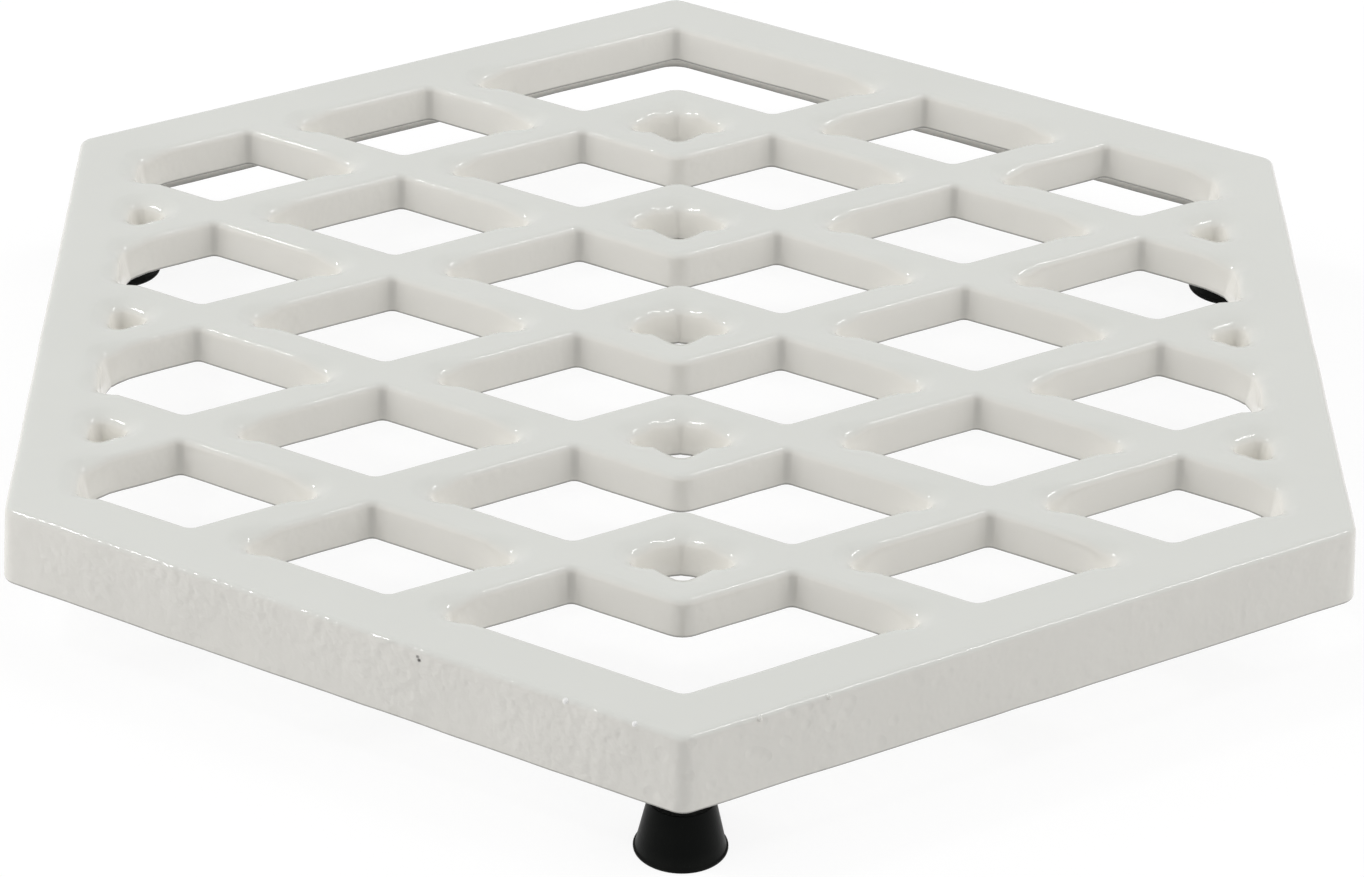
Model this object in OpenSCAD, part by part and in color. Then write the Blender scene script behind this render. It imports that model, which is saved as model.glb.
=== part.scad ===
/* [Outline] */
// Distance from the front corner to the back corner, before the corners are rounded
across_corners = 200; // [184:1:230]
// Distance between the two flat sides at the left and right
across_flats = 171.2; // [160:0.2:196]
// Radius of the six outer corners, seen from above
corner_radius = 2.2; // [2:0.1:8]
// Width of the flat rim round the lattice, on the four slanting sides
rim_width = 8.9; // [7:0.1:12]
// Width of the rim along the two flat sides
side_rim_width = 8.5; // [7:0.1:12]

/* [Depths] */
// Depth of the lattice bars
bar_depth = 5.4; // [4:0.1:7]
// Depth of the outer wall, from the top face down
wall_depth = 10.7; // [8:0.1:13]
// Thickness of the outer wall where it hangs from the lattice
wall_thickness = 3.4; // [2:0.1:5]
// Thickness of the outer wall at its lower edge, thinner so that it leaves the mould
wall_foot_thickness = 2.2; // [1.8:0.1:3.4]
// How far the outer wall flares out from the top face to its lower edge
wall_flare = 0.6; // [0:0.1:1.5]
// Rounding of the top face into the outer wall
edge_rounding = 1; // [0.4:0.1:1.6]

/* [Lattice] */
// Pitch of the bars, square across them
bar_pitch = 25.5; // [23:0.1:29]
// Width of a bar at the top face
bar_width = 5.56; // [4:0.02:8]
// Distance of the first column of openings from the centre line
first_column = 13.78; // [12.4:0.02:14.4]
// Radius of the corners of the openings
opening_radius = 1.6; // [0.5:0.1:2.4]
// Narrowest slot left between the last ring and the rim
narrowest_slot = 8; // [6:0.5:12]
// Narrowest opening that the pattern keeps beside the rim
narrowest_opening = 4; // [3:0.5:6]

/* [Feet] */
// Distance of a foot's centre from the corner that it stands under
foot_inset = 6; // [5.6:0.1:9]
// Height of the rubber foot
foot_height = 7.2; // [5.5:0.1:9.5]
// Gap between the lower edge of the outer wall and the top of the rubber foot
foot_gap = 1.7; // [0.5:0.1:4]
// Diameter of the rubber foot where it meets the casting
foot_top_diameter = 8.2; // [7.4:0.1:9]
// Diameter of the rubber foot just above its lip
foot_base_diameter = 11.1; // [10.4:0.1:11.1]
// Diameter of the lip that stands on the table
lip_diameter = 11.6; // [11.5:0.1:12.4]
// Height of the lip
lip_height = 0.4; // [0.4:0.1:1.2]
// Rounding of the lip
lip_rounding = 0.15; // [0.05:0.05:0.15]
// Diameter of the cast boss that the foot butts against
boss_diameter = 6; // [5.2:0.1:8]
// Diameter of the cast peg inside the foot
peg_diameter = 4.8; // [3:0.1:5.1]
// Length of the cast peg below its boss
peg_length = 4.6; // [2.5:0.1:4.9]
// Play round the peg inside the foot
peg_clearance = 0.05; // [0:0.05:0.2]

/* [Hidden] */
$fn = 48;
// Number of straight steps in each rounded corner
corner_steps = 6;
// Number of steps in the rounded top edge
edge_steps = 4;
// Spare length of every cut, past the face that it opens
overrun = 1;
// Thickness of the slices that the outer wall is drawn round
slice = 0.01;
// Smallest radius that is left in the corners inside the outer wall
least_radius = 1;

// A right angle, for arcs of a quarter turn
quarter_turn = 90;

enamel_white = "#dcdcd7";
rubber_black = "#161817";

// The hexagon has a corner at the front and at the back, so its slanting sides lie at 30 degrees
slope = 30;
slanting_apothem = across_corners / 2 * cos(slope);
side_apothem = across_flats / 2;
rim_line = slanting_apothem - rim_width;
side_rim_line = side_apothem - side_rim_width;

// Openings are rhombi whose sides lie along the slanting sides of the hexagon
row_pitch = bar_pitch / cos(slope);
half_bar = bar_width / 2;
half_long = bar_pitch - bar_width;
half_short = half_long * tan(slope);
// Rings on the centre line on each side of the middle one, and columns out to the flat sides
ring_reach = floor((rim_line - first_column * sin(slope) - half_bar - narrowest_slot) / bar_pitch);
column_reach = ceil((side_apothem - first_column) / bar_pitch);
// Distance of the last ring's outer edge and of the slot's closed end, square to the slanting sides
slot_inner_line = first_column * sin(slope) + ring_reach * bar_pitch + half_bar;
slot_end_line = ring_reach * bar_pitch - first_column * sin(slope) + half_bar;

// Heights above the table
wall_z = foot_height + foot_gap;
top_z = wall_z + wall_depth;
lattice_z = top_z - bar_depth;

// Directions square to the flat sides and to the slanting sides of the left half
leftward = [-1, 0];
rightward = [1, 0];
back_left = [-sin(slope), cos(slope)];
front_left = [-sin(slope), -cos(slope)];

// The six corners of a hexagon given by its two apothems, counter-clockwise from the back corner
function hexagon(slanting, side) =
    let (tip = slanting / cos(slope), shoulder = tip - side * tan(slope))
    [[0, tip], [-side, shoulder], [-side, -shoulder], [0, -tip], [side, -shoulder], [side, shoulder]];

// The part of a convex outline on the inner side of a line at that distance along a direction
function clipped(outline, direction, distance) =
    [for (i = [0 : len(outline) - 1])
        let (a = outline[i], b = outline[(i + 1) % len(outline)])
        let (over_a = direction * a - distance, over_b = direction * b - distance)
        each concat(
            over_a <= 0 ? [a] : [],
            over_a * over_b < 0 ? [a + (b - a) * over_a / (over_a - over_b)] : [])];

// An outline with each corner rounded, inward or outward, as far as its sides leave room
function rounded(outline, radius) =
    [for (i = [0 : len(outline) - 1])
        let (count = len(outline), corner = outline[i])
        let (before = outline[(i + count - 1) % count] - corner, after = outline[(i + 1) % count] - corner)
        let (to_before = before / norm(before), to_after = after / norm(after))
        let (half_angle = acos(to_before * to_after) / 2)
        let (room = min(norm(before), norm(after)) * tan(half_angle) / 2)
        each corner_arc(corner, to_before, to_after, half_angle, min(radius, room))];

// The arc that replaces a corner, from the side before it to the side after it
function corner_arc(corner, to_before, to_after, half_angle, radius) =
    let (middle = (to_before + to_after) / norm(to_before + to_after))
    let (centre = corner + middle * radius / sin(half_angle))
    let (first = corner + to_before * radius / tan(half_angle) - centre)
    let (last = corner + to_after * radius / tan(half_angle) - centre)
    let (sweep = 180 - 2 * half_angle)
    [for (step = [0 : corner_steps])
        let (turned = sweep * step / corner_steps)
        centre + (first * sin(sweep - turned) + last * sin(turned)) / sin(sweep)];

function shifted(outline, place) = [for (point = outline) point + place];
function mirrored(outline) = [for (point = outline) [-point[0], point[1]]];
function backward(outline) = [for (i = [len(outline) - 1 : -1 : 0]) outline[i]];

// How wide an outline is along a direction
function span(outline, direction) =
    let (reach = [for (point = outline) direction * point])
    max(reach) - min(reach);

function wide_enough(outline) =
    len(outline) > 2
    && span(outline, leftward) > narrowest_opening
    && span(outline, back_left) > narrowest_opening
    && span(outline, front_left) > narrowest_opening;

// A rhombus starting at its right corner, so that a cut along the centre line stays at its ends
rhombus = [[half_long, 0], [0, half_short], [-half_long, 0], [0, -half_short]];

// A cell of the left half, kept inside the rim. Column -1 is the ring column on the centre line
function cell(column, row) =
    clipped(
        clipped(
            clipped(
                shifted(rhombus, [-first_column - column * bar_pitch, row * row_pitch / 2]),
                front_left, rim_line),
            back_left, rim_line),
        leftward, side_rim_line);

// The left half of an opening, joined to its mirror image across the centre line
function joined(half) = concat(half, [for (i = [len(half) - 2 : -1 : 1]) [-half[i][0], half[i][1]]]);

function centre_opening(column, row) = joined(clipped(cell(column, row), rightward, 0));

// Small rhombi inside the rings on the centre line
ring_openings = [for (ring = [-ring_reach : ring_reach]) centre_opening(-1, 2 * ring)];
// Paired rhombi between the rings, joined by a narrow neck
paired_openings = [for (ring = [-ring_reach : ring_reach - 1]) centre_opening(0, 2 * ring + 1)];

// Openings of the left half that don't reach the centre line
column_openings =
    [for (column = [1 : column_reach])
        for (row = [-2 * ring_reach - 2 : 2 * ring_reach + 2])
            let (opening = cell(column, row))
            if ((row + column) % 2 != 0 && wide_enough(opening)) opening];

// The V-shaped slot between the last ring and the back corner, and its mirror image at the front
slot_crossing = (slot_end_line - slot_inner_line) / 2 / sin(slope);
slot_half = [
    [0, rim_line / cos(slope)],
    slot_corner(rim_line),
    slot_corner(slot_inner_line),
    [0, slot_inner_line / cos(slope)]];
back_slot = joined(slot_half);
front_slot = backward([for (point = back_slot) [point[0], -point[1]]]);

// Where the closed end of the left arm of the slot meets a line along the back left side
function slot_corner(line) =
    [(slot_end_line - line) / 2 / sin(slope), (slot_end_line + line) / 2 / cos(slope)];

openings = concat(
    ring_openings, paired_openings, column_openings,
    [for (opening = column_openings) backward(mirrored(opening))],
    [back_slot, front_slot]);

// The outline of the casting, grown outwards by a distance that may be negative
function outline(growth) =
    rounded(
        hexagon(slanting_apothem + growth, side_apothem + growth),
        max(corner_radius + growth, least_radius));

corners = hexagon(slanting_apothem, side_apothem);
function foot_place(corner) = corner * (1 - foot_inset / norm(corner));
front_place = foot_place(corners[3]);
left_rear_place = foot_place(corners[1]);
right_rear_place = foot_place(corners[5]);
foot_places = [front_place, left_rear_place, right_rear_place];

module slab(points, bottom, top) {
    translate([0, 0, bottom]) linear_extrude(top - bottom) polygon(points);
}

// The solid block of the casting: rounded at the top edge and flared down to its lower edge
module block() {
    hull() {
        for (step = [0 : edge_steps]) {
            turned = quarter_turn * step / edge_steps;
            drop = edge_rounding * (1 - cos(turned));
            slab(outline(edge_rounding * (sin(turned) - 1)), top_z - drop - slice, top_z - drop);
        }
        slab(outline(wall_flare), wall_z, wall_z + slice);
    }
}

// The hollow under the lattice, inside the outer wall
module hollow() {
    hull() {
        slab(outline(wall_flare - wall_foot_thickness), wall_z - overrun, wall_z);
        slab(outline(wall_flare - wall_thickness), lattice_z - slice, lattice_z);
    }
}

// The cast post under a corner: a boss down from the rim, and the peg that holds the rubber foot
module post() {
    translate([0, 0, foot_height])
        cylinder(h = lattice_z - foot_height + overrun, d = boss_diameter);
    translate([0, 0, foot_height - peg_length])
        cylinder(h = peg_length + overrun, d = peg_diameter);
}

// One casting: lattice, rim, outer wall and the three posts
module cast_body() {
    color(enamel_white) {
        difference() {
            block();
            hollow();
            for (opening = openings)
                slab(rounded(opening, opening_radius), lattice_z - overrun, top_z + overrun);
        }
        for (place = foot_places) translate(place) post();
    }
}

// The outline of half a foot, from the axis at the table up to its top and down its blind hole
function foot_profile() =
    let (lip = lip_diameter / 2, base = foot_base_diameter / 2, top = foot_top_diameter / 2)
    let (hole = peg_diameter / 2 + peg_clearance, floor_z = foot_height - peg_length - peg_clearance)
    concat(
        [[0, 0], [lip - lip_rounding, 0]],
        lip_arc(lip, lip_rounding, -quarter_turn),
        lip_arc(lip, lip_height - lip_rounding, 0),
        [[base, lip_height], [top, foot_height], [hole, foot_height], [hole, floor_z], [0, floor_z]]);

// A quarter turn round the edge of the lip
function lip_arc(lip, level, start) =
    [for (step = [1 : corner_steps])
        let (turned = start + quarter_turn * step / corner_steps)
        [lip - lip_rounding + lip_rounding * cos(turned), level + lip_rounding * sin(turned)]];

module rubber_foot() {
    color(rubber_black) rotate_extrude() polygon(foot_profile());
}

module front_foot() { translate(front_place) rubber_foot(); }
module left_rear_foot() { translate(left_rear_place) rubber_foot(); }
module right_rear_foot() { translate(right_rear_place) rubber_foot(); }

cast_body();
front_foot();
left_rear_foot();
right_rear_foot();
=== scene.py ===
import math

import bpy
from mathutils import Matrix, Vector


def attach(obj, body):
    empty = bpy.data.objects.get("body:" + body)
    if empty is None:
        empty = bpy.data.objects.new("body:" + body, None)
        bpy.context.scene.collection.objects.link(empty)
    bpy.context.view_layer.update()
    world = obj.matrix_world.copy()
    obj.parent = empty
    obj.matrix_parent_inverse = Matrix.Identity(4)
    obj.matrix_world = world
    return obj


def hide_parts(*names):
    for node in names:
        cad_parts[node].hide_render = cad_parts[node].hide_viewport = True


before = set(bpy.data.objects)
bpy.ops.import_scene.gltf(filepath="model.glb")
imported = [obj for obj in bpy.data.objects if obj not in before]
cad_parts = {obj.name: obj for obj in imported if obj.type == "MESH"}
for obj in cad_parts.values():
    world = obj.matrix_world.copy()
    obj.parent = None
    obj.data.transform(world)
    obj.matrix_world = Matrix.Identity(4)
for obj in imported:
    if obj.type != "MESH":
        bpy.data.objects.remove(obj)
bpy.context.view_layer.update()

MM = 0.001

# Driving sizes of the trivet, in millimetres
ACROSS_CORNERS = 200.0
ACROSS_FLATS = 171.2
CORNER_RADIUS = 2.2
RIM_WIDTH = 8.9
SIDE_RIM_WIDTH = 8.5
BAR_DEPTH = 5.4
WALL_DEPTH = 10.7
WALL_THICKNESS = 3.4
WALL_FOOT_THICKNESS = 2.2
WALL_FLARE = 0.6
EDGE_ROUNDING = 1.0
BAR_PITCH = 25.5
BAR_WIDTH = 5.56
FIRST_COLUMN = 13.78
OPENING_RADIUS = 1.6
NARROWEST_SLOT = 8.0
NARROWEST_OPENING = 4.0
FOOT_INSET = 6.0
FOOT_HEIGHT = 7.2
FOOT_GAP = 1.7
FOOT_TOP_DIAMETER = 8.2
FOOT_BASE_DIAMETER = 11.1
LIP_DIAMETER = 11.6
LIP_HEIGHT = 0.4
LIP_ROUNDING = 0.15
BOSS_DIAMETER = 6.0
PEG_DIAMETER = 4.8
PEG_LENGTH = 4.6
PEG_CLEARANCE = 0.05

# The slanting sides of the hexagon lie at this angle to the line across its flat sides
SLOPE = math.radians(30)
SLANTING_APOTHEM = ACROSS_CORNERS / 2 * math.cos(SLOPE)
SIDE_APOTHEM = ACROSS_FLATS / 2
RIM_LINE = SLANTING_APOTHEM - RIM_WIDTH
SIDE_RIM_LINE = SIDE_APOTHEM - SIDE_RIM_WIDTH
ROW_PITCH = BAR_PITCH / math.cos(SLOPE)
HALF_BAR = BAR_WIDTH / 2
HALF_LONG = BAR_PITCH - BAR_WIDTH
HALF_SHORT = HALF_LONG * math.tan(SLOPE)
CROSSING_LINE = FIRST_COLUMN * math.sin(SLOPE)
RING_REACH = int((RIM_LINE - CROSSING_LINE - HALF_BAR - NARROWEST_SLOT) // BAR_PITCH)
COLUMN_REACH = math.ceil((SIDE_APOTHEM - FIRST_COLUMN) / BAR_PITCH)
SLOT_INNER_LINE = CROSSING_LINE + RING_REACH * BAR_PITCH + HALF_BAR
SLOT_END_LINE = RING_REACH * BAR_PITCH - CROSSING_LINE + HALF_BAR

# Heights above the table
WALL_Z = FOOT_HEIGHT + FOOT_GAP
TOP_Z = WALL_Z + WALL_DEPTH

LEFTWARD = Vector((-1, 0))
RIGHTWARD = Vector((1, 0))
BACK_LEFT = Vector((-math.sin(SLOPE), math.cos(SLOPE)))
FRONT_LEFT = Vector((-math.sin(SLOPE), -math.cos(SLOPE)))


def hexagon(slanting, side):
    """The six corners, counter-clockwise from the back one."""
    tip = slanting / math.cos(SLOPE)
    shoulder = tip - side * math.tan(SLOPE)
    return [
        Vector((0, tip)),
        Vector((-side, shoulder)),
        Vector((-side, -shoulder)),
        Vector((0, -tip)),
        Vector((side, -shoulder)),
        Vector((side, shoulder)),
    ]


def clipped(outline, direction, distance):
    """The part of a convex outline on the inner side of a line at a distance along a direction."""
    kept = []
    for index, point in enumerate(outline):
        following = outline[(index + 1) % len(outline)]
        over = direction.dot(point) - distance
        over_next = direction.dot(following) - distance
        if over <= 0:
            kept.append(point)
        if over * over_next < 0:
            kept.append(point + (following - point) * over / (over - over_next))
    return kept


def mirrored(outline):
    """The mirror image across the centre line, still counter-clockwise."""
    return [Vector((-point.x, point.y)) for point in reversed(outline)]


def rhombus_cell(column, row):
    """One rhombus of the left half, cut off where it would run into the rim."""
    middle = Vector((-FIRST_COLUMN - column * BAR_PITCH, row * ROW_PITCH / 2))
    outline = [
        middle + Vector((HALF_LONG, 0)),
        middle + Vector((0, HALF_SHORT)),
        middle - Vector((HALF_LONG, 0)),
        middle - Vector((0, HALF_SHORT)),
    ]
    outline = clipped(outline, FRONT_LEFT, RIM_LINE)
    outline = clipped(outline, BACK_LEFT, RIM_LINE)
    return clipped(outline, LEFTWARD, SIDE_RIM_LINE)


def joined(half):
    """A left half whose ends are on the centre line, with its mirror image."""
    return half + [Vector((-point.x, point.y)) for point in reversed(half[1:-1])]


def centre_opening(column, row):
    return joined(clipped(rhombus_cell(column, row), RIGHTWARD, 0))


def wide_enough(outline):
    """True where an opening is worth casting, and not a sliver left beside the rim."""
    if len(outline) < 3:
        return False
    for direction in (LEFTWARD, BACK_LEFT, FRONT_LEFT):
        reach = [direction.dot(point) for point in outline]
        if max(reach) - min(reach) <= NARROWEST_OPENING:
            return False
    return True


def slot_corner(line):
    """Where the closed end of a slot's left arm meets a line along the back left side."""
    return Vector((
        (SLOT_END_LINE - line) / 2 / math.sin(SLOPE),
        (SLOT_END_LINE + line) / 2 / math.cos(SLOPE),
    ))


def lattice_openings():
    """The 35 openings, each counter-clockwise and still sharp at its corners."""
    openings = [centre_opening(-1, 2 * ring) for ring in range(-RING_REACH, RING_REACH + 1)]
    openings += [centre_opening(0, 2 * ring + 1) for ring in range(-RING_REACH, RING_REACH)]
    for column in range(1, COLUMN_REACH + 1):
        for row in range(-2 * RING_REACH - 2, 2 * RING_REACH + 3):
            outline = rhombus_cell(column, row)
            if (row + column) % 2 and wide_enough(outline):
                openings += [outline, mirrored(outline)]
    back_slot = joined([
        Vector((0, RIM_LINE / math.cos(SLOPE))),
        slot_corner(RIM_LINE),
        slot_corner(SLOT_INNER_LINE),
        Vector((0, SLOT_INNER_LINE / math.cos(SLOPE))),
    ])
    front_slot = [Vector((point.x, -point.y)) for point in reversed(back_slot)]
    return openings + [back_slot, front_slot]


HEXAGON = hexagon(SLANTING_APOTHEM, SIDE_APOTHEM)
HOLLOW_INSET = WALL_THICKNESS - WALL_FLARE
HOLLOW = hexagon(SLANTING_APOTHEM - HOLLOW_INSET, SIDE_APOTHEM - HOLLOW_INSET)
OPENINGS = lattice_openings()

# A corner of an opening this sharp, or beside a side this short, fills with glaze
TIGHT_ANGLE = math.radians(75)
SHORT_SIDE = 9.5


def opening_corners(openings):
    """Each corner as (corner, middle of its arc, whether glaze pools in it)."""
    corners = []
    for outline in openings:
        for index, corner in enumerate(outline):
            before = outline[index - 1] - corner
            after = outline[(index + 1) % len(outline)] - corner
            if after.cross(before) <= 0:
                continue
            angle = before.angle(after)
            inward = (before.normalized() + after.normalized()).normalized()
            middle = corner + inward * OPENING_RADIUS / math.sin(angle / 2)
            tight = angle < TIGHT_ANGLE or min(before.length, after.length) < SHORT_SIDE
            corners.append((corner, middle, tight))
    return corners


def foot_place(corner):
    return corner * (1 - FOOT_INSET / corner.length)


FOOT_PLACES = {
    "front_foot": foot_place(HEXAGON[3]),
    "left_rear_foot": foot_place(HEXAGON[1]),
    "right_rear_foot": foot_place(HEXAGON[5]),
}


def add_node(tree, kind, inputs=None, **settings):
    """Adds a node; each input gets a value, or the output that feeds it."""
    node = tree.nodes.new(kind)
    for name, value in settings.items():
        setattr(node, name, value)
    for socket, value in (inputs or {}).items():
        if isinstance(value, bpy.types.NodeSocket):
            tree.links.new(value, node.inputs[socket])
        else:
            node.inputs[socket].default_value = value
    return node


def calculated(tree, operation, *values):
    """The result of a Math node."""
    return add_node(tree, "ShaderNodeMath", dict(enumerate(values)), operation=operation).outputs[0]


def new_geometry_tree(name, sizes):
    """A geometry tree with a geometry input and one named input for each size."""
    tree = bpy.data.node_groups.new(name, "GeometryNodeTree")
    tree.interface.new_socket("Geometry", in_out="INPUT", socket_type="NodeSocketGeometry")
    tree.interface.new_socket("Geometry", in_out="OUTPUT", socket_type="NodeSocketGeometry")
    for size, value in sizes.items():
        kind = "NodeSocketInt" if isinstance(value, int) else "NodeSocketFloat"
        tree.interface.new_socket(size, in_out="INPUT", socket_type=kind)
    return tree, tree.nodes.new("NodeGroupInput").outputs


def close_geometry_tree(tree, geometry, material):
    """Ends a tree in plain faces that are shaded smoothly and have their material."""
    real = add_node(tree, "GeometryNodeRealizeInstances", {"Geometry": geometry})
    smooth = add_node(tree, "GeometryNodeSetShadeSmooth", {"Geometry": real.outputs[0]})
    finished = add_node(
        tree, "GeometryNodeSetMaterial", {"Geometry": smooth.outputs[0], "Material": material})
    end = tree.nodes.new("NodeGroupOutput")
    tree.links.new(finished.outputs[0], end.inputs["Geometry"])


def build_piece(name, plan, tree, sizes):
    """Runs a tree on a plan of outlines, lines and points, and keeps the result as a plain mesh."""
    drawing = bpy.data.curves.new(name + "_plan", "CURVE")
    drawing.dimensions = "3D"
    for outline in plan:
        line = drawing.splines.new("POLY")
        line.points.add(len(outline) - 1)
        for point, place in zip(line.points, outline):
            point.co = (*(place.to_3d() * MM), 1)
        line.use_cyclic_u = len(outline) > 2
    carrier = bpy.data.objects.new(name + "_plan", drawing)
    bpy.context.scene.collection.objects.link(carrier)
    modifier = carrier.modifiers.new(tree.name, "NODES")
    modifier.node_group = tree
    for socket in tree.interface.items_tree:
        if socket.in_out == "INPUT" and socket.name in sizes:
            modifier[socket.identifier] = sizes[socket.name]
    bpy.context.view_layer.update()
    depsgraph = bpy.context.evaluated_depsgraph_get()
    mesh = bpy.data.meshes.new_from_object(carrier.evaluated_get(depsgraph))
    mesh.name = name
    carrier.modifiers.remove(modifier)
    bpy.data.objects.remove(carrier)
    bpy.data.curves.remove(drawing)
    piece = bpy.data.objects.new(name, mesh)
    bpy.context.scene.collection.objects.link(piece)
    return piece


def add_section(tree, corners, roundings, steps):
    """A section through a wall: (inset, drop) corners, each rounded by its own radius."""
    straight = add_node(tree, "GeometryNodeCurvePrimitiveLine")
    divided = add_node(
        tree, "GeometryNodeSubdivideCurve",
        {"Curve": straight.outputs[0], "Cuts": len(corners) - 2})
    index = add_node(tree, "GeometryNodeInputIndex").outputs[0]
    place = add_node(tree, "GeometryNodeIndexSwitch", {"Index": index}, data_type="VECTOR")
    radius = add_node(tree, "GeometryNodeIndexSwitch", {"Index": index}, data_type="FLOAT")
    for number, (corner, rounding) in enumerate(zip(corners, roundings)):
        # The switches start with two items
        if number > 1:
            place.index_switch_items.new()
            radius.index_switch_items.new()
        inset, drop = corner
        point = add_node(tree, "ShaderNodeCombineXYZ", {"X": inset, "Y": drop})
        tree.links.new(point.outputs[0], place.inputs[str(number)])
        if isinstance(rounding, bpy.types.NodeSocket):
            tree.links.new(rounding, radius.inputs[str(number)])
        else:
            radius.inputs[str(number)].default_value = rounding
    bent = add_node(
        tree, "GeometryNodeSetPosition",
        {"Geometry": divided.outputs[0], "Position": place.outputs[0]})
    rounded = add_node(
        tree, "GeometryNodeFilletCurve",
        {"Curve": bent.outputs[0], "Count": steps, "Radius": radius.outputs[0],
         "Limit Radius": True},
        mode="POLY")
    return rounded.outputs[0]


def evenly_divided(tree, line, step):
    """Cuts each straight stretch of a line into pieces no longer than the step."""
    index = add_node(tree, "GeometryNodeInputIndex").outputs[0]
    place = add_node(tree, "GeometryNodeInputPosition").outputs[0]
    following = add_node(
        tree, "GeometryNodeOffsetPointInCurve", {"Point Index": index, "Offset": 1})
    next_place = add_node(
        tree, "GeometryNodeFieldAtIndex",
        {"Value": place, "Index": following.outputs["Point Index"]}, data_type="FLOAT_VECTOR")
    stretch = add_node(
        tree, "ShaderNodeVectorMath", {0: place, 1: next_place.outputs[0]}, operation="DISTANCE")
    pieces = calculated(tree, "DIVIDE", stretch.outputs["Value"], step)
    cuts = add_node(
        tree, "FunctionNodeFloatToInt", {0: pieces}, rounding_mode="FLOOR")
    divided = add_node(
        tree, "GeometryNodeSubdivideCurve", {"Curve": line, "Cuts": cuts.outputs[0]})
    return divided.outputs[0]


def corner_rounding(tree, inside_radius, outside_radius):
    """The radius of each corner of an opening, where it may be a corner of the iron instead."""
    index = add_node(tree, "GeometryNodeInputIndex").outputs[0]
    place = add_node(tree, "GeometryNodeInputPosition").outputs[0]
    sides = []
    for offset in (1, -1):
        neighbour = add_node(
            tree, "GeometryNodeOffsetPointInCurve", {"Point Index": index, "Offset": offset})
        its_place = add_node(
            tree, "GeometryNodeFieldAtIndex",
            {"Value": place, "Index": neighbour.outputs["Point Index"]}, data_type="FLOAT_VECTOR")
        side = add_node(
            tree, "ShaderNodeVectorMath", {0: its_place.outputs[0], 1: place}, operation="SUBTRACT")
        sides.append(side.outputs[0])
    turn = add_node(
        tree, "ShaderNodeVectorMath", {0: sides[0], 1: sides[1]}, operation="CROSS_PRODUCT")
    turn_up = add_node(tree, "ShaderNodeSeparateXYZ", {0: turn.outputs[0]}).outputs["Z"]
    is_iron = add_node(tree, "FunctionNodeCompare", {0: turn_up, 1: 0.0}, operation="LESS_THAN")
    radius = add_node(
        tree, "GeometryNodeSwitch",
        {"Switch": is_iron.outputs[0], "False": inside_radius, "True": outside_radius},
        input_type="FLOAT")
    return radius.outputs[0]


def plan_line(tree, outline, radius, steps, step):
    """An outline with rounded corners and divided sides, whose normals stay in the plan."""
    rounded = add_node(
        tree, "GeometryNodeFilletCurve",
        {"Curve": outline, "Count": steps, "Radius": radius, "Limit Radius": True}, mode="POLY")
    divided = evenly_divided(tree, rounded.outputs[0], step)
    upright = add_node(tree, "GeometryNodeSetCurveNormal", {"Curve": divided}, mode="Z_UP")
    return upright.outputs[0]


def grown(tree, line, inset):
    """A plan line moved into the iron by an inset."""
    side = add_node(tree, "GeometryNodeInputNormal").outputs["Normal"]
    reach = add_node(tree, "ShaderNodeVectorMath", {0: side, "Scale": inset}, operation="SCALE")
    moved = add_node(
        tree, "GeometryNodeSetPosition", {"Geometry": line, "Offset": reach.outputs[0]})
    return moved.outputs[0]


def flat_face(tree, lines, height):
    """The flat iron between the outlines, at a height."""
    joined_lines = add_node(tree, "GeometryNodeJoinGeometry")
    for line in lines:
        tree.links.new(line, joined_lines.inputs[0])
    filled = add_node(
        tree, "GeometryNodeFillCurve", {"Curve": joined_lines.outputs[0]}, mode="TRIANGLES")
    lift = add_node(tree, "ShaderNodeCombineXYZ", {"Z": height})
    placed = add_node(
        tree, "GeometryNodeSetPosition",
        {"Geometry": filled.outputs[0], "Offset": lift.outputs[0]})
    return placed.outputs[0]


CASTING_SIZES = {
    "Outer corner radius": CORNER_RADIUS * MM,
    "Opening corner radius": OPENING_RADIUS * MM,
    "Iron corner radius": 3.2 * MM,
    "Hollow corner radius": 2.8 * MM,
    "Corner steps": 6,
    "Side step": 1.7 * MM,
    "Section step": 0.8 * MM,
    "Edge rounding": EDGE_ROUNDING * MM,
    "Pooled margin": 2.6 * MM,
    "Pooled depth": 0.7 * MM,
    "Pooled lean": 0.9 * MM,
    "Crease width": 1.5 * MM,
    "Lower rounding": 0.5 * MM,
    "Edge shade core": 0.3 * MM,
    "Root rounding": 1.2 * MM,
    "Opening draft": 0.45 * MM,
    "Bar depth": BAR_DEPTH * MM,
    "Wall depth": WALL_DEPTH * MM,
    "Wall taper": (WALL_THICKNESS - WALL_FOOT_THICKNESS) * MM,
    "Wall flare": WALL_FLARE * MM,
    "Top height": TOP_Z * MM,
    "Unevenness": 0.25 * MM,
    "Unevenness size": 9.0 * MM,
    "Seed": 4,
}

# Each flat face starts this many times the rounding away from the wall's corner
TOP_REACH = 1.4
LOWER_REACH = 1.6
ROOT_REACH = 1.3
# Points closer than this are one point
SEAM = 0.005 * MM
# The painted shade of a crease is darkest this near its line
CREASE_CORE = 0.2 * MM
# Points move up and down freely from this depth on, and not at all on the top face
LEVEL_DEPTH = 3.0 * MM


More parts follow.
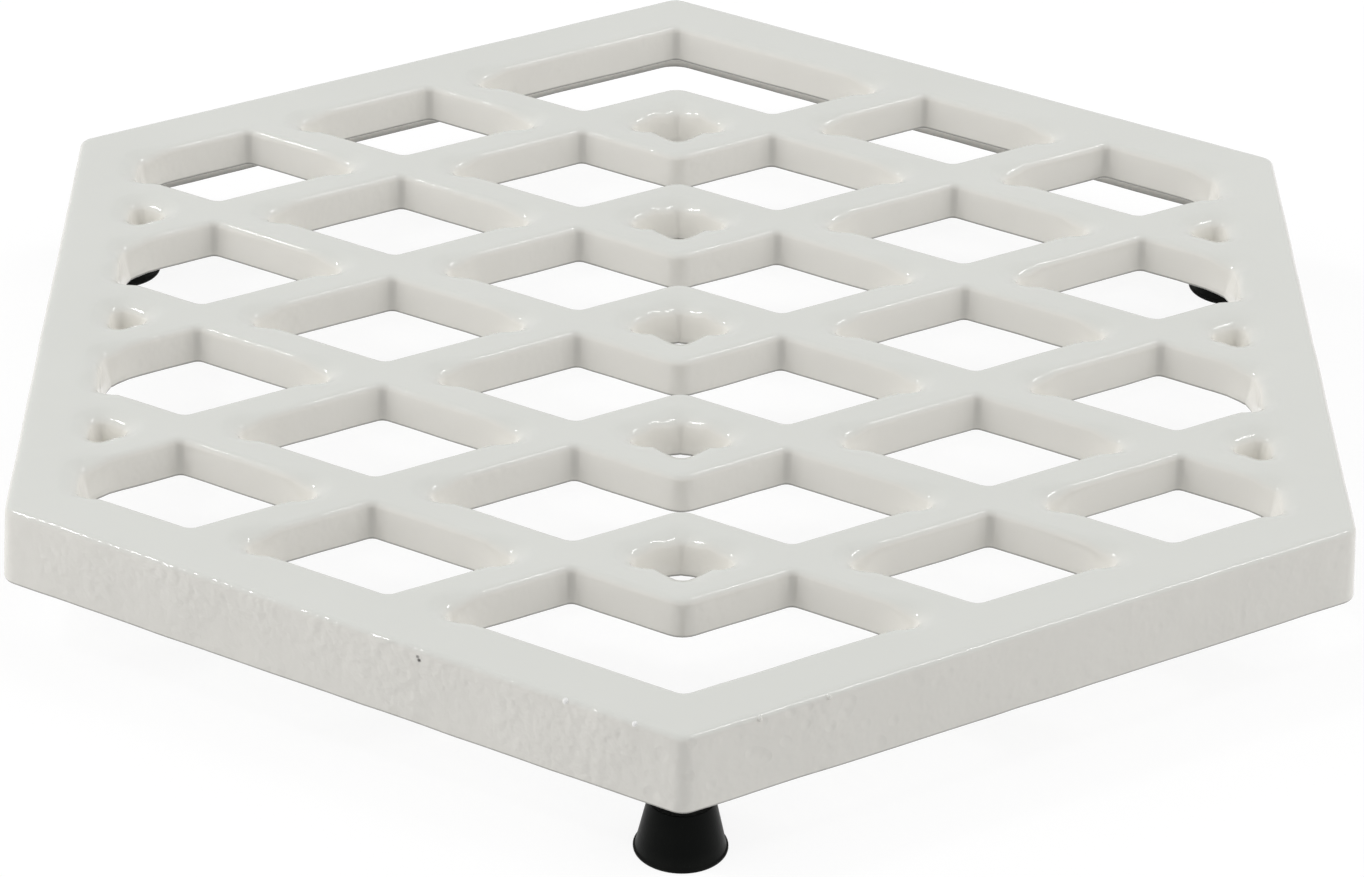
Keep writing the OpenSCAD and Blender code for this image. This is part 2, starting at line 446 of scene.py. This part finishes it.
def casting_tree(material):
    """The casting: its plan lines swept along the sections of their walls, and filled flat."""
    tree, size = new_geometry_tree("enamelled_casting", CASTING_SIZES)

    # The plan holds outlines, upright lines for the creases and points for the pools of glaze;
    # a Compare node's sockets 2 and 3 are its whole numbers
    count = add_node(tree, "GeometryNodeSplineLength").outputs["Point Count"]
    is_closed = add_node(
        tree, "FunctionNodeCompare", {2: count, 3: 2}, data_type="INT", operation="GREATER_THAN")
    closed_lines = add_node(
        tree, "GeometryNodeSeparateGeometry",
        {"Geometry": size["Geometry"], "Selection": is_closed.outputs[0]}, domain="CURVE")
    is_crease = add_node(
        tree, "FunctionNodeCompare", {2: count, 3: 2}, data_type="INT", operation="EQUAL")
    marks = add_node(
        tree, "GeometryNodeSeparateGeometry",
        {"Geometry": closed_lines.outputs["Inverted"], "Selection": is_crease.outputs[0]},
        domain="CURVE")
    index = add_node(tree, "GeometryNodeInputIndex").outputs[0]
    is_outline = add_node(
        tree, "FunctionNodeCompare", {2: index, 3: 0}, data_type="INT", operation="EQUAL")
    parted = add_node(
        tree, "GeometryNodeSeparateGeometry",
        {"Geometry": closed_lines.outputs["Selection"], "Selection": is_outline.outputs[0]},
        domain="CURVE")
    inner = add_node(
        tree, "GeometryNodeSeparateGeometry",
        {"Geometry": parted.outputs["Inverted"], "Selection": is_outline.outputs[0]},
        domain="CURVE")
    outline = plan_line(
        tree, parted.outputs["Selection"], size["Outer corner radius"], size["Corner steps"],
        size["Side step"])
    hollow = plan_line(
        tree, inner.outputs["Selection"], size["Hollow corner radius"], size["Corner steps"],
        size["Side step"])
    openings_radius = corner_rounding(
        tree, size["Opening corner radius"], size["Iron corner radius"])
    openings = plan_line(
        tree, inner.outputs["Inverted"], openings_radius, size["Corner steps"], size["Side step"])

    margin = calculated(tree, "MULTIPLY", size["Edge rounding"], TOP_REACH)
    lower_margin = calculated(tree, "MULTIPLY", size["Lower rounding"], LOWER_REACH)
    wall_end = calculated(tree, "SUBTRACT", lower_margin, size["Wall flare"])
    hollow_end = calculated(tree, "ADD", lower_margin, size["Wall taper"])
    root_margin = calculated(tree, "MULTIPLY", size["Root rounding"], -ROOT_REACH)
    narrowing = calculated(tree, "MULTIPLY", size["Opening draft"], -1.0)
    flare = calculated(tree, "MULTIPLY", size["Wall flare"], -1.0)
    bar_section = add_section(
        tree,
        [(size["Pooled margin"], 0.0), (0.0, 0.0), (narrowing, size["Bar depth"]),
         (lower_margin, size["Bar depth"])],
        [0.0, size["Edge rounding"], size["Lower rounding"], 0.0], size["Corner steps"])
    wall_section = add_section(
        tree,
        [(margin, 0.0), (0.0, 0.0), (flare, size["Wall depth"]), (wall_end, size["Wall depth"])],
        [0.0, size["Edge rounding"], size["Lower rounding"], 0.0], size["Corner steps"])
    hollow_section = add_section(
        tree,
        [(root_margin, size["Bar depth"]), (0.0, size["Bar depth"]),
         (size["Wall taper"], size["Wall depth"]), (hollow_end, size["Wall depth"])],
        [0.0, size["Root rounding"], size["Lower rounding"], 0.0], size["Corner steps"])
    lift = add_node(tree, "ShaderNodeCombineXYZ", {"Z": size["Top height"]}).outputs[0]
    shell = add_node(tree, "GeometryNodeJoinGeometry")
    # The walls of the openings are marked 1; the mark sets their depth for the edge shade below,
    # and the material paints them lighter as painted light and smooths their relief
    for line, section, opening_walls in (
            (outline, wall_section, 0.0), (hollow, hollow_section, 0.0),
            (openings, bar_section, 1.0)):
        divided = evenly_divided(tree, section, size["Section step"])
        swept = add_node(
            tree, "GeometryNodeCurveToMesh", {"Curve": line, "Profile Curve": divided})
        turned = add_node(tree, "GeometryNodeFlipFaces", {"Mesh": swept.outputs[0]})
        raised = add_node(
            tree, "GeometryNodeSetPosition", {"Geometry": turned.outputs[0], "Offset": lift})
        glazed = add_node(
            tree, "GeometryNodeStoreNamedAttribute",
            {"Geometry": raised.outputs[0], "Name": "opening_walls", "Value": opening_walls},
            data_type="FLOAT", domain="POINT")
        tree.links.new(glazed.outputs[0], shell.inputs[0])
    top = flat_face(
        tree, [grown(tree, outline, margin), grown(tree, openings, size["Pooled margin"])],
        size["Top height"])
    under_height = calculated(tree, "SUBTRACT", size["Top height"], size["Bar depth"])
    under = flat_face(
        tree, [grown(tree, hollow, root_margin), grown(tree, openings, lower_margin)], under_height)
    lower_height = calculated(tree, "SUBTRACT", size["Top height"], size["Wall depth"])
    lower_edge = flat_face(
        tree, [grown(tree, outline, wall_end), grown(tree, hollow, hollow_end)], lower_height)
    tree.links.new(top, shell.inputs[0])
    for face in (under, lower_edge):
        turned = add_node(tree, "GeometryNodeFlipFaces", {"Mesh": face})
        tree.links.new(turned.outputs[0], shell.inputs[0])
    closed = add_node(
        tree, "GeometryNodeMergeByDistance", {"Geometry": shell.outputs[0], "Distance": SEAM})

    place = add_node(tree, "GeometryNodeInputPosition").outputs[0]
    height = add_node(tree, "ShaderNodeSeparateXYZ", {0: place}).outputs["Z"]
    drop = calculated(tree, "SUBTRACT", size["Top height"], height)

    # Thick glaze and worn sand round the iron off in the tight corners of the openings
    pools = add_node(
        tree, "GeometryNodeCurveToPoints", {"Curve": marks.outputs["Inverted"]}, mode="EVALUATED")
    in_plan = add_node(
        tree, "ShaderNodeVectorMath", {0: place, 1: (1, 1, 0)}, operation="MULTIPLY").outputs[0]
    from_pool = add_node(
        tree, "GeometryNodeProximity",
        {"Geometry": pools.outputs["Points"], "Sample Position": in_plan}, target_element="POINTS")
    pool_edge = calculated(tree, "ADD", size["Opening corner radius"], size["Pooled margin"])
    pooled = add_node(
        tree, "ShaderNodeMapRange",
        {"Value": from_pool.outputs["Distance"], "From Min": pool_edge,
         "From Max": size["Opening corner radius"]}, interpolation_type="SMOOTHSTEP").outputs[0]
    above = add_node(
        tree, "ShaderNodeMapRange",
        {"Value": drop, "From Min": size["Bar depth"], "From Max": 0.0}).outputs[0]
    sunk_share = calculated(tree, "MULTIPLY", pooled, above)
    sunk = calculated(tree, "MULTIPLY", sunk_share, size["Pooled depth"])
    downward = add_node(
        tree, "ShaderNodeVectorMath", {0: (0, 0, -1), "Scale": sunk}, operation="SCALE")

    # The walls of these corners lean into the opening, which is narrower below
    below = calculated(tree, "SUBTRACT", 1.0, above)
    leaning = calculated(tree, "MULTIPLY", pooled, below)
    lean = calculated(tree, "MULTIPLY", leaning, size["Pooled lean"])
    to_pool = add_node(
        tree, "ShaderNodeVectorMath", {0: from_pool.outputs["Position"], 1: in_plan},
        operation="SUBTRACT").outputs[0]
    inward = add_node(tree, "ShaderNodeVectorMath", {0: to_pool}, operation="NORMALIZE").outputs[0]
    leant = add_node(tree, "ShaderNodeVectorMath", {0: inward, "Scale": lean}, operation="SCALE")
    pool_shift = add_node(
        tree, "ShaderNodeVectorMath", {0: downward.outputs[0], 1: leant.outputs[0]},
        operation="ADD")
    scooped = add_node(
        tree, "GeometryNodeSetPosition",
        {"Geometry": closed.outputs[0], "Offset": pool_shift.outputs[0]})

    # How near a point is to an upright inside corner, and to the lower edge of its wall,
    # for the painted shade that the material puts there
    crease_lines = add_node(tree, "GeometryNodeCurveToMesh", {"Curve": marks.outputs["Selection"]})
    from_crease = add_node(
        tree, "GeometryNodeProximity", {"Geometry": crease_lines.outputs[0]},
        target_element="EDGES")
    creased = add_node(
        tree, "ShaderNodeMapRange",
        {"Value": from_crease.outputs["Distance"], "From Min": size["Crease width"],
         "From Max": CREASE_CORE}, interpolation_type="SMOOTHSTEP").outputs[0]
    in_opening = add_node(
        tree, "GeometryNodeInputNamedAttribute", {"Name": "opening_walls"}, data_type="FLOAT")
    depth = add_node(
        tree, "ShaderNodeMix",
        {0: in_opening.outputs[0], 2: size["Wall depth"], 3: size["Bar depth"]}).outputs[0]
    above_edge = calculated(tree, "SUBTRACT", depth, drop)
    # Painted shade along each wall's lower edge: full up to the edge shade core above it, gone at
    # the lower rounding
    near_lower_edge = add_node(
        tree, "ShaderNodeMapRange",
        {"Value": above_edge, "From Min": size["Lower rounding"], "From Max": size["Edge shade core"]}
        ).outputs[0]
    marked = scooped
    for name, share in (("painted_crease_shade", creased), ("painted_edge_shade", near_lower_edge)):
        marked = add_node(
            tree, "GeometryNodeStoreNamedAttribute",
            {"Geometry": marked.outputs[0], "Name": name, "Value": share},
            data_type="FLOAT", domain="POINT")

    spacing = calculated(tree, "DIVIDE", 1.0, size["Unevenness size"])
    waves = add_node(
        tree, "ShaderNodeTexNoise",
        {"Vector": place, "W": size["Seed"], "Scale": spacing, "Detail": 1.0},
        noise_dimensions="4D")
    swing = add_node(
        tree, "ShaderNodeVectorMath", {0: waves.outputs["Color"], 1: (0.5, 0.5, 0.5)},
        operation="SUBTRACT")
    sink = add_node(
        tree, "ShaderNodeMapRange", {"Value": drop, "From Max": LEVEL_DEPTH, "To Max": 1.0})
    freedom = add_node(tree, "ShaderNodeCombineXYZ", {"X": 1.0, "Y": 1.0, "Z": sink.outputs[0]})
    allowed = add_node(
        tree, "ShaderNodeVectorMath", {0: swing.outputs[0], 1: freedom.outputs[0]},
        operation="MULTIPLY")
    drift = add_node(
        tree, "ShaderNodeVectorMath", {0: allowed.outputs[0], "Scale": size["Unevenness"]},
        operation="SCALE")
    uneven = add_node(
        tree, "GeometryNodeSetPosition",
        {"Geometry": marked.outputs[0], "Offset": drift.outputs[0]})
    close_geometry_tree(tree, uneven.outputs[0], material)
    return tree


def turned_tree(name, sizes, corners_from, material):
    """A round part: the section that its sizes give, turned about an upright axis at each point."""
    tree, size = new_geometry_tree(name, sizes)
    corners, roundings = corners_from(size)
    section = add_section(tree, corners, roundings, size["Rounding steps"])
    spindle = 1.0 * MM
    laid = add_node(
        tree, "GeometryNodeTransform",
        {"Geometry": section, "Translation": (-spindle, 0, 0), "Scale": (1, -1, 1)})
    circle = add_node(
        tree, "GeometryNodeCurvePrimitiveCircle",
        {"Resolution": size["Round steps"], "Radius": spindle})
    upright = add_node(
        tree, "GeometryNodeSetCurveNormal", {"Curve": circle.outputs[0]}, mode="Z_UP")
    turned = add_node(
        tree, "GeometryNodeCurveToMesh",
        {"Curve": upright.outputs[0], "Profile Curve": laid.outputs[0]})
    outward = add_node(tree, "GeometryNodeFlipFaces", {"Mesh": turned.outputs[0]})
    closed = add_node(
        tree, "GeometryNodeMergeByDistance", {"Geometry": outward.outputs[0], "Distance": SEAM})
    stood = add_node(
        tree, "GeometryNodeInstanceOnPoints",
        {"Points": size["Geometry"], "Instance": closed.outputs[0]})
    close_geometry_tree(tree, stood.outputs[0], material)
    return tree


FOOT_SIZES = {
    "Round steps": 72,
    "Rounding steps": 4,
    "Foot height": FOOT_HEIGHT * MM,
    "Top radius": FOOT_TOP_DIAMETER / 2 * MM,
    "Base radius": FOOT_BASE_DIAMETER / 2 * MM,
    "Lip radius": LIP_DIAMETER / 2 * MM,
    "Lip height": LIP_HEIGHT * MM,
    "Lip rounding": LIP_ROUNDING * MM,
    "Hole rounding": 0.2 * MM,
    "Hole radius": (PEG_DIAMETER / 2 + PEG_CLEARANCE) * MM,
    "Hole floor": (FOOT_HEIGHT - PEG_LENGTH - PEG_CLEARANCE) * MM,
}


def foot_corners(size):
    """A rubber foot, from the middle of its base round to the floor of its blind hole."""
    corners = [
        (0.0, 0.0),
        (size["Lip radius"], 0.0),
        (size["Lip radius"], size["Lip height"]),
        (size["Base radius"], size["Lip height"]),
        (size["Top radius"], size["Foot height"]),
        (size["Hole radius"], size["Foot height"]),
        (size["Hole radius"], size["Hole floor"]),
        (0.0, size["Hole floor"]),
    ]
    outer = size["Lip rounding"]
    inner = size["Hole rounding"]
    return corners, [0.0, outer, outer, inner, outer, inner, inner, 0.0]


POST_SIZES = {
    "Round steps": 48,
    "Rounding steps": 4,
    "Boss radius": BOSS_DIAMETER / 2 * MM,
    "Boss top": (TOP_Z - BAR_DEPTH + 1.0) * MM,
    "Boss foot": FOOT_HEIGHT * MM,
    "Peg radius": PEG_DIAMETER / 2 * MM,
    "Peg end": (FOOT_HEIGHT - PEG_LENGTH) * MM,
    "Edge rounding": 0.4 * MM,
}


def post_corners(size):
    """A cast post, from the end of its peg up to where it is lost in the rim."""
    corners = [
        (0.0, size["Peg end"]),
        (size["Peg radius"], size["Peg end"]),
        (size["Peg radius"], size["Boss foot"]),
        (size["Boss radius"], size["Boss foot"]),
        (size["Boss radius"], size["Boss top"]),
        (0.0, size["Boss top"]),
    ]
    edge = size["Edge rounding"]
    return corners, [0.0, edge, 0.0, edge, edge, 0.0]


def linear(colour):
    """A colour written as sRGB hex, turned to the linear values that a shader takes."""
    channels = [int(colour[start:start + 2], 16) / 255 for start in (1, 3, 5)]
    return tuple(
        value / 12.92 if value <= 0.04045 else ((value + 0.055) / 1.055) ** 2.4
        for value in channels) + (1.0,)


def per_metre(millimetres):
    """The scale of a pattern whose repeat is a size in millimetres."""
    return 1 / (millimetres * MM)


def mixed(tree, share, first, second):
    """The first colour where the share is 0, the second where it is 1, and a blend between."""
    return add_node(
        tree, "ShaderNodeMix", {0: share, 6: first, 7: second}, data_type="RGBA").outputs[2]


def new_material(name):
    material = bpy.data.materials.new(name)
    material.use_nodes = True
    material.node_tree.nodes.clear()
    return material, material.node_tree


def close_material(tree, shader):
    add_node(tree, "ShaderNodeOutputMaterial", {"Surface": shader})


# The skin of the glaze: how wide its unevenness is and how high it stands, in millimetres
CLOUD_WIDTH = 30.0
WAVE_WIDTH = 11.0
WAVE_HEIGHT = 0.12
PEEL_WIDTH = 3.0
PEEL_HEIGHT = 0.16
PEEL_HEIGHT_ON_TOP = 0.006
GRAIN_WIDTH = 1.4
GRAIN_HEIGHT = 0.2
BLISTER_SPACING = 2.8
BLISTER_DEPTH = 0.16
PINHOLE_DEPTH = 0.2

# Flaws of the glaze, in millimetres, where the real one has them
PINHOLES = [Vector((-32.3, -81.75, 18.6)), Vector((-32.1, -81.85, 18.2)), Vector((33.8, 5.0, 16.9))]
# The first two nibs carry a painted highlight of plain white in the material
NIBS_WITH_PAINTED_GLINT = [Vector((-14.1, -91.5, 19.18)), Vector((-5.8, -96.2, 19.18))]
GLAZED_NIBS = [Vector((9.0, -94.6, 19.14)), Vector((17.4, -89.7, 19.14))]
NIB_SIZES = {"Radius": 0.38 * MM}


def lowest_distance(tree, place, spots):
    """How far a surface point is from the nearest of some spots given in millimetres."""
    nearest = None
    for spot in spots:
        away = add_node(
            tree, "ShaderNodeVectorMath", {0: place, 1: spot * MM},
            operation="DISTANCE").outputs["Value"]
        if nearest is not None:
            away = calculated(tree, "MINIMUM", nearest, away)
        nearest = away
    return nearest


def vitreous_enamel():
    """Opaque white glass, sprayed on sand-cast iron and fired.

    To the eye it is a glossy, slightly wavy skin: calm on the top face, dimpled like orange peel on
    the upright walls and a little warmer on them, with a few pinholes and nibs. Its colour also
    holds painted light: lighter walls inside the openings, painted shade in upright inside corners
    and along lower edges, and a painted highlight on two nibs.
    """
    material, tree = new_material("vitreous_enamel_fired_on_cast_iron")
    place = add_node(tree, "ShaderNodeTexCoord").outputs["Object"]
    facing = add_node(tree, "ShaderNodeNewGeometry").outputs["Normal"]
    upward = add_node(tree, "ShaderNodeSeparateXYZ", {0: facing}).outputs["Z"]
    # 0 on the top face, 1 on the walls and below
    wall = add_node(
        tree, "ShaderNodeMapRange",
        {"Value": upward, "From Min": 0.97, "From Max": 0.4}).outputs[0]

    clouds = add_node(
        tree, "ShaderNodeTexNoise",
        {"Vector": place, "Scale": per_metre(CLOUD_WIDTH), "Detail": 3.0}).outputs[0]
    cloud_share = add_node(
        tree, "ShaderNodeMapRange",
        {"Value": clouds, "From Min": 0.35, "From Max": 0.65}).outputs[0]
    top_colour = mixed(tree, cloud_share, linear("#dedfda"), linear("#dcddd8"))
    wall_colour = mixed(tree, cloud_share, linear("#e0ded8"), linear("#dcdad4"))
    # Painted light: the walls inside the openings are painted lighter, lifting the shade that falls
    # in them
    depth = add_node(
        tree, "ShaderNodeAttribute", attribute_type="GEOMETRY", attribute_name="opening_walls")
    painted_light_opening_colour = mixed(tree, depth.outputs["Fac"], wall_colour, linear("#efede7"))
    glaze = mixed(tree, wall, top_colour, painted_light_opening_colour)

    # Painted shade: upright inside corners and lower edges are darkened towards grey
    for name, share, ground in (
            ("painted_crease_shade", 0.2, "#9a9993"), ("painted_edge_shade", 0.9, "#7b7a75")):
        shade_mark = add_node(
            tree, "ShaderNodeAttribute", attribute_type="GEOMETRY", attribute_name=name)
        shade_share = calculated(tree, "MULTIPLY", shade_mark.outputs["Fac"], share)
        on_wall = calculated(tree, "MULTIPLY", shade_share, wall)
        glaze = mixed(tree, on_wall, glaze, linear(ground))

    # A painted highlight of plain white on two of the nibs, and pinholes down to the dark ground
    # coat, 0.5 mm wide
    to_nib = lowest_distance(tree, place, NIBS_WITH_PAINTED_GLINT)
    painted_glint = add_node(
        tree, "ShaderNodeMapRange",
        {"Value": to_nib, "From Min": 0.44 * MM, "From Max": 0.34 * MM}).outputs[0]
    with_painted_glint = mixed(tree, painted_glint, glaze, linear("#ffffff"))
    to_pinhole = lowest_distance(tree, place, PINHOLES)
    hole = add_node(
        tree, "ShaderNodeMapRange",
        {"Value": to_pinhole, "From Min": 0.4 * MM, "From Max": 0.26 * MM}).outputs[0]
    specked = mixed(tree, hole, with_painted_glint, linear("#35332f"))

    # The left half is the roughest, and the insides of the openings are the smoothest
    relief = add_node(
        tree, "ShaderNodeMapRange",
        {"Value": upward, "From Min": 0.99, "From Max": 0.75}).outputs[0]
    across = add_node(tree, "ShaderNodeSeparateXYZ", {0: place}).outputs["X"]
    side_share = add_node(
        tree, "ShaderNodeMapRange",
        {"Value": across, "From Min": 30 * MM, "From Max": 0.0, "To Min": 0.35}).outputs[0]
    smoothed = add_node(
        tree, "ShaderNodeMapRange",
        {"Value": depth.outputs["Fac"], "To Min": 1.0, "To Max": 0.3}).outputs[0]
    coarse_side = calculated(tree, "MULTIPLY", side_share, smoothed)
    coarse = calculated(tree, "MULTIPLY", coarse_side, relief)
    # Orange peel, slow waves and drifts of sand grains
    peel = add_node(
        tree, "ShaderNodeTexNoise",
        {"Vector": place, "Scale": per_metre(PEEL_WIDTH), "Detail": 2.0,
         "Roughness": 0.4}).outputs[0]
    peel_depth = add_node(
        tree, "ShaderNodeMapRange",
        {"Value": coarse, "To Min": PEEL_HEIGHT_ON_TOP, "To Max": PEEL_HEIGHT}).outputs[0]
    peel_height = calculated(tree, "MULTIPLY", peel, peel_depth)
    waves = add_node(
        tree, "ShaderNodeTexNoise",
        {"Vector": place, "Scale": per_metre(WAVE_WIDTH), "Detail": 1.0}).outputs[0]
    waved = calculated(tree, "MULTIPLY_ADD", waves, WAVE_HEIGHT, peel_height)
    grains = add_node(
        tree, "ShaderNodeTexNoise",
        {"Vector": place, "Scale": per_metre(GRAIN_WIDTH), "Detail": 1.0}).outputs[0]
    drift = add_node(
        tree, "ShaderNodeMapRange",
        {"Value": waves, "From Min": 0.42, "From Max": 0.62, "To Min": 0.35}).outputs[0]
    grain_share = calculated(tree, "MULTIPLY", drift, coarse)
    grain_height = calculated(tree, "MULTIPLY", grain_share, grains)
    grained = calculated(tree, "MULTIPLY_ADD", grain_height, GRAIN_HEIGHT, waved)
    # Small blisters where gas broke through the glaze
    blisters = add_node(
        tree, "ShaderNodeTexVoronoi",
        {"Vector": place, "Scale": per_metre(BLISTER_SPACING)}, feature="SMOOTH_F1")
    pit = add_node(
        tree, "ShaderNodeMapRange",
        {"Value": blisters.outputs["Distance"], "From Min": 0.3, "From Max": 0.0}).outputs[0]
    patch = add_node(
        tree, "ShaderNodeMapRange", {"Value": clouds, "From Min": 0.46, "From Max": 0.6}).outputs[0]
    pit_share = calculated(tree, "MULTIPLY", pit, patch)
    pit_depth = calculated(tree, "MULTIPLY", pit_share, coarse)
    pitted = calculated(tree, "MULTIPLY_ADD", pit_depth, -BLISTER_DEPTH, grained)
    holed = calculated(tree, "MULTIPLY_ADD", hole, -PINHOLE_DEPTH, pitted)
    bump = add_node(
        tree, "ShaderNodeBump", {"Strength": 1.0, "Distance": MM, "Height": holed}).outputs[0]

    sheen = add_node(
        tree, "ShaderNodeMapRange", {"Value": clouds, "To Min": 0.05, "To Max": 0.12}).outputs[0]
    shader = add_node(
        tree, "ShaderNodeBsdfPrincipled",
        {"Base Color": specked, "Roughness": sheen, "IOR": 1.52, "Normal": bump})
    close_material(tree, shader.outputs[0])
    return material


def moulded_rubber():
    """Black rubber moulded in a blasted tool.

    To the eye it is nearly black and semi-matt, with a soft broad light band down each side, a very
    fine grain, and a trace of grey bloom and dust near the table.
    """
    material, tree = new_material("moulded_black_rubber")
    place = add_node(tree, "ShaderNodeTexCoord").outputs["Object"]
    height = add_node(tree, "ShaderNodeSeparateXYZ", {0: place}).outputs["Z"]
    bloom = add_node(
        tree, "ShaderNodeTexNoise",
        {"Vector": place, "Scale": per_metre(3.5), "Detail": 5.0, "Roughness": 0.65}).outputs[0]
    low = add_node(
        tree, "ShaderNodeMapRange",
        {"Value": height, "From Min": 2.2 * MM, "From Max": 0.2 * MM, "To Min": 0.25}).outputs[0]
    bloom_share = calculated(tree, "MULTIPLY", bloom, low)
    colour = mixed(tree, bloom_share, linear("#040605"), linear("#1a1b19"))
    # Blasted grain of the mould, drawn at 0.35 mm so that it shows
    grain = add_node(
        tree, "ShaderNodeTexNoise",
        {"Vector": place, "Scale": per_metre(0.35), "Detail": 2.0}).outputs[0]
    bump = add_node(
        tree, "ShaderNodeBump",
        {"Strength": 1.0, "Distance": 0.012 * MM, "Height": grain}).outputs[0]
    roughness = add_node(
        tree, "ShaderNodeMapRange", {"Value": bloom, "To Min": 0.34, "To Max": 0.5}).outputs[0]
    shader = add_node(
        tree, "ShaderNodeBsdfPrincipled",
        {"Base Color": colour, "Roughness": roughness, "IOR": 1.52, "Specular IOR Level": 0.05,
         "Sheen Weight": 0.32, "Sheen Roughness": 0.34, "Normal": bump})
    close_material(tree, shader.outputs[0])
    return material


def nib_tree(material):
    """Grains fired into the glaze, each a small ball that is sunk in the skin."""
    tree, size = new_geometry_tree("glaze_nib", NIB_SIZES)
    ball = add_node(
        tree, "GeometryNodeMeshIcoSphere", {"Radius": size["Radius"], "Subdivisions": 3})
    sunk = add_node(
        tree, "GeometryNodeInstanceOnPoints",
        {"Points": size["Geometry"], "Instance": ball.outputs["Mesh"]})
    close_geometry_tree(tree, sunk.outputs[0], material)
    return tree


enamel = vitreous_enamel()
rubber = moulded_rubber()

# Every outline runs with the iron on its right, so the outer one is turned round
plan = [list(reversed(HEXAGON)), HOLLOW] + OPENINGS
for corner, middle, tight in opening_corners(OPENINGS):
    if tight:
        plan.append([middle])
    else:
        plan.append([corner.to_3d(), Vector((*corner, TOP_Z))])
lattice = build_piece("enamelled_casting", plan, casting_tree(enamel), CASTING_SIZES)
posts = build_piece(
    "cast_posts", [[place] for place in FOOT_PLACES.values()],
    turned_tree("cast_post", POST_SIZES, post_corners, enamel), POST_SIZES)
nibs = build_piece(
    "glaze_nibs", [[place] for place in NIBS_WITH_PAINTED_GLINT + GLAZED_NIBS], nib_tree(enamel), NIB_SIZES)
bpy.ops.object.select_all(action="DESELECT")
for part in (posts, nibs, lattice):
    part.select_set(True)
bpy.context.view_layer.objects.active = lattice
bpy.ops.object.join()
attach(lattice, "root")
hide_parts("cast_body")

foot_tree = turned_tree("rubber_foot", FOOT_SIZES, foot_corners, rubber)
for node_name, place in FOOT_PLACES.items():
    foot = build_piece("rubber_" + node_name, [[place]], foot_tree, FOOT_SIZES)
    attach(foot, "root")
    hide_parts(node_name)


# The floor's side in metres, and the share of the object's shadow that it shows
FLOOR_SIDE = 8.0
SHADOW_SHARE = 0.16
# The light that the surround gives, where the white behind the object is 1
SURROUND_LEVEL = 0.52


def pale_paper():
    """Plain white for the camera and in reflections, keeping a share of the object's shadow."""
    material, tree = new_material("pale_paper_floor")
    paths = add_node(tree, "ShaderNodeLightPath").outputs
    seen = calculated(tree, "MAXIMUM", paths["Is Camera Ray"], paths["Is Glossy Ray"])
    paper = add_node(
        tree, "ShaderNodeBsdfDiffuse", {"Color": linear("#f4f4f4")}).outputs[0]
    white = add_node(tree, "ShaderNodeEmission", {"Strength": 1.04}).outputs[0]
    lifted = add_node(tree, "ShaderNodeMixShader", {0: SHADOW_SHARE, 1: white, 2: paper}).outputs[0]
    shader = add_node(tree, "ShaderNodeMixShader", {0: seen, 1: paper, 2: lifted}).outputs[0]
    close_material(tree, shader)
    return material


def plain_floor():
    mesh = bpy.data.meshes.new("floor")
    half = FLOOR_SIDE / 2
    mesh.from_pydata(
        [(-half, -half, 0), (half, -half, 0), (half, half, 0), (-half, half, 0)], [],
        [(0, 1, 2, 3)])
    floor = bpy.data.objects.new("floor", mesh)
    bpy.context.scene.collection.objects.link(floor)
    mesh.materials.append(pale_paper())


def white_world():
    """White behind the object, which gives it less light than that white would."""
    world = bpy.data.worlds.new("white_surround")
    world.use_nodes = True
    tree = world.node_tree
    tree.nodes.clear()
    paths = add_node(tree, "ShaderNodeLightPath").outputs
    seen = calculated(tree, "MAXIMUM", paths["Is Camera Ray"], paths["Is Glossy Ray"])
    strength = add_node(
        tree, "ShaderNodeMapRange", {"Value": seen, "To Min": SURROUND_LEVEL, "To Max": 1.0})
    sky = add_node(tree, "ShaderNodeBackground", {"Strength": strength.outputs[0]})
    add_node(tree, "ShaderNodeOutputWorld", {"Surface": sky.outputs[0]})
    bpy.context.scene.world = world


def add_lamp(name, toward, distance, width, height, power, mirrored_in_glaze):
    """A rectangular lamp, in metres and watts, that hangs in a direction and faces the object."""
    lamp = bpy.data.lights.new(name, "AREA")
    lamp.shape = "RECTANGLE"
    lamp.size = width
    lamp.size_y = height
    lamp.energy = power
    stand = bpy.data.objects.new(name, lamp)
    stand.visible_glossy = mirrored_in_glaze
    bpy.context.scene.collection.objects.link(stand)
    direction = Vector(toward).normalized()
    aim = Vector((0, 0, TOP_Z * MM))
    stand.location = aim + direction * distance
    stand.rotation_euler = direction.to_track_quat("Z", "Y").to_euler()


def photo_camera():
    """The camera of the photograph, found by fitting the hexagon and its lattice to it."""
    lens = bpy.data.cameras.new("camera")
    lens.sensor_width = 36
    lens.lens = 132.76
    camera = bpy.data.objects.new("camera", lens)
    bpy.context.scene.collection.objects.link(camera)
    turned = Matrix.Rotation(math.radians(-1.053), 4, "Z")
    tipped = Matrix.Rotation(math.radians(90 - 30.897), 4, "X")
    rolled = Matrix.Rotation(math.radians(1.419), 4, "Z")
    where = Matrix.Translation(Vector((-10.18, -590.85, 354.85)) * MM)
    camera.matrix_world = where @ turned @ tipped @ rolled
    lens.clip_start = 0.01
    lens.clip_end = 20
    bpy.context.scene.camera = camera


photo_camera()
plain_floor()
white_world()
# The softboxes stay out of the reflections, which are of a plain white room and two small lamps
add_lamp("left_softbox", (-0.9, 0.0, 0.42), 1.3, 1.2, 1.2, 9.3, False)
add_lamp("right_softbox", (0.93, 0.0, 0.36), 1.3, 1.3, 1.3, 8.8, False)
add_lamp("left_flash", (-0.641, 0.02, 0.767), 1.48, 0.18, 0.18, 2.8, True)
add_lamp("right_strip", (0.55, 0.06, 0.9), 1.06, 0.08, 0.4, 1.3, True)
bpy.context.scene.view_settings.view_transform = "Standard"
